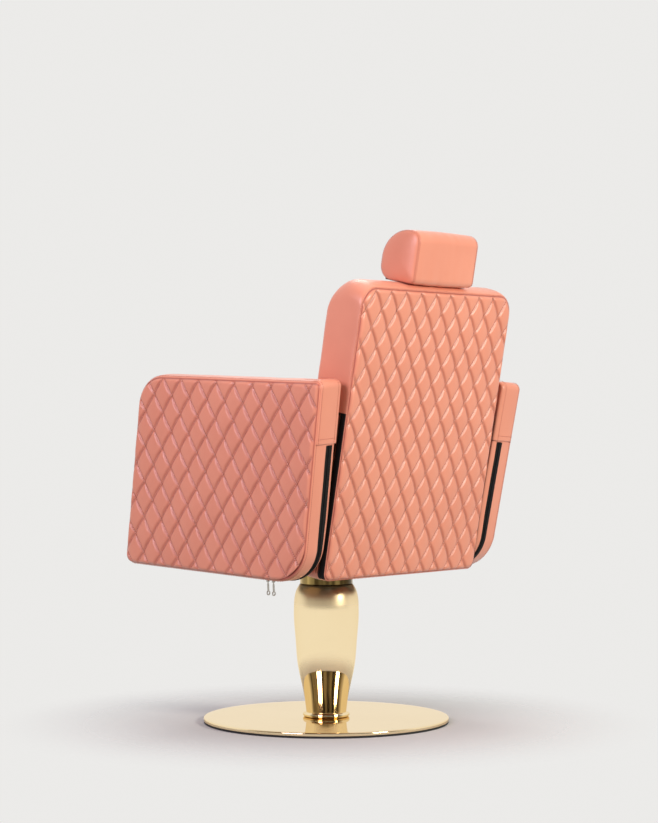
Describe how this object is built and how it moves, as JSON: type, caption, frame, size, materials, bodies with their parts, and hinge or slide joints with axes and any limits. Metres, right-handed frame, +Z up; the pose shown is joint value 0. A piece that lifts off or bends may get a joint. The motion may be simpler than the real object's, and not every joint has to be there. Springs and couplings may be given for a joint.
{
  "type": "threading chair",
  "caption": "Salon chair with quilted slab arms and back, reclining backrest, sliding headrest, and a polished pump column on a round disc base.",
  "frame": {"origin": "centre of the disc base's rubber underside, on the floor under the column's axis", "axes": "+Z up along the column, the sitter faces -Y, the backrest is at +Y and the sitter's left arm at +X"},
  "size_m": [0.7478, 0.6455, 1.1013],
  "materials": {
    "rubber": "matte moulded rubber",
    "weight_steel": "satin black paint on steel",
    "gold": "polished and gold plated",
    "bright_steel": "polished nickel plate",
    "plywood": "raw birch plywood",
    "pink_leather": "semi-matte salmon pink upholstery leather",
    "quilted_leather": "semi-matte salmon pink leather, diamond quilted",
    "zip_tape": "woven black zipper tape",
    "zip_coil": "black nylon zipper coil",
    "black_plastic": "fine-grained black plastic"
  },
  "bodies": {
    "base": {"base_floor_pad": "rubber", "base_weight_plate": "weight_steel", "base_disc_cover": "gold", "shroud_foot_ring": "gold", "vase_shroud": "gold", "pump_flange": "weight_steel", "pump_flange_bolts": "bright_steel", "pump_cylinder": "weight_steel", "pump_gland_cap": "weight_steel", "pedal_bracket": "weight_steel", "pedal_pin": "bright_steel"},
    "pedal": {"pedal_lever": "bright_steel", "pedal_tread": "black_plastic"},
    "lift": {"piston_rod": "bright_steel"},
    "seat": {"top_collar": "gold", "swivel_hub": "weight_steel", "seat_mount_plate": "weight_steel", "mount_bolts": "bright_steel", "seat_rails": "weight_steel", "seat_rear_tube": "weight_steel", "arm_bars": "weight_steel", "seat_board": "plywood", "seat_cushion": "pink_leather", "seat_front_apron": "pink_leather", "seat_recliner_link_left": "weight_steel", "seat_recliner_link_right": "weight_steel", "left_arm_body": "pink_leather", "left_arm_board": "plywood", "left_arm_quilted_panel": "quilted_leather", "left_arm_rear_cap": "pink_leather", "left_arm_zip_tape": "zip_tape", "left_arm_zip_coil": "zip_coil", "right_arm_body": "pink_leather", "right_arm_board": "plywood", "right_arm_quilted_panel": "quilted_leather", "right_arm_rear_cap": "pink_leather", "right_arm_zip_tape": "zip_tape", "right_arm_zip_coil": "zip_coil"},
    "back": {"back_board": "plywood", "back_cushion": "pink_leather", "back_quilted_panel": "quilted_leather", "back_hinge_plates": "weight_steel", "back_zip_left": "zip_tape", "back_zip_right": "zip_tape", "headrest_guides": "black_plastic"},
    "headrest": {"headrest_board": "black_plastic", "headrest_cushion": "pink_leather", "headrest_ends": "pink_leather", "headrest_posts": "bright_steel"},
    "release": {"release_shaft": "bright_steel", "release_lever": "bright_steel", "release_knob": "black_plastic"},
    "left_slider_front": {"left_zip_slider_front": "bright_steel"},
    "left_pull_front": {"left_zip_pull_front": "bright_steel"},
    "left_slider_rear": {"left_zip_slider_rear": "bright_steel"},
    "left_pull_rear": {"left_zip_pull_rear": "bright_steel"},
    "right_slider_front": {"right_zip_slider_front": "bright_steel"},
    "right_pull_front": {"right_zip_pull_front": "bright_steel"},
    "right_slider_rear": {"right_zip_slider_rear": "bright_steel"},
    "right_pull_rear": {"right_zip_pull_rear": "bright_steel"}
  },
  "joints": [
    {"name": "pedal_pump", "type": "hinge", "parent": "base", "child": "pedal", "pos_m": [-0.02681, -0.0225, 0.062], "axis": [0.6428, -0.766, 0], "range_deg": [0, 9], "stiffness_Nm_per_rad": 6, "springref_deg": -6.88},
    {"name": "column_lift", "type": "slide", "parent": "base", "child": "lift", "axis": [0, 0, 1], "range_m": [0, 0.13]},
    {"name": "seat_swivel", "type": "hinge", "parent": "lift", "child": "seat", "pos_m": [0, 0, 0.35], "axis": [0, 0, 1], "continuous": true},
    {"name": "back_recline", "type": "hinge", "parent": "seat", "child": "back", "pos_m": [0, 0.1746, 0.372], "axis": [-1, 0, 0], "range_deg": [0, 40]},
    {"name": "headrest_height", "type": "slide", "parent": "back", "child": "headrest", "axis": [0, 0.1754, 0.9845], "range_m": [0, 0.09]},
    {"name": "recline_release", "type": "hinge", "parent": "seat", "child": "release", "pos_m": [0, 0.1746, 0.372], "axis": [1, 0, 0], "range_deg": [0, 18], "stiffness_Nm_per_rad": 3, "springref_deg": -11.46},
    {"name": "left_slider_front_run", "type": "slide", "parent": "seat", "child": "left_slider_front", "axis": [0.0032, -0.9987, 0.0502], "range_m": [0, 0.12]},
    {"name": "left_pull_front_swing", "type": "hinge", "parent": "left_slider_front", "child": "left_pull_front", "pos_m": [0.29447, 0.07862, 0.34107], "axis": [0.9979, 0, -0.0644], "range_deg": [-70, 15]},
    {"name": "left_slider_rear_run", "type": "slide", "parent": "seat", "child": "left_slider_rear", "axis": [-0.0032, 0.9987, -0.0502], "range_m": [0, 0.02]},
    {"name": "left_pull_rear_swing", "type": "hinge", "parent": "left_slider_rear", "child": "left_pull_rear", "pos_m": [0.29442, 0.09412, 0.34029], "axis": [0.9979, 0, -0.0644], "range_deg": [-15, 70]},
    {"name": "right_slider_front_run", "type": "slide", "parent": "seat", "child": "right_slider_front", "axis": [-0.0032, -0.9987, 0.0502], "range_m": [0, 0.12]},
    {"name": "right_pull_front_swing", "type": "hinge", "parent": "right_slider_front", "child": "right_pull_front", "pos_m": [-0.29496, -0.07119, 0.3486], "axis": [0.9979, 0, 0.0644], "range_deg": [-70, 15]},
    {"name": "right_slider_rear_run", "type": "slide", "parent": "seat", "child": "right_slider_rear", "axis": [0.0032, 0.9987, -0.0502], "range_m": [0, 0.02]},
    {"name": "right_pull_rear_swing", "type": "hinge", "parent": "right_slider_rear", "child": "right_pull_rear", "pos_m": [-0.2949, -0.05569, 0.34782], "axis": [0.9979, 0, 0.0644], "range_deg": [-15, 70]}
  ]
}
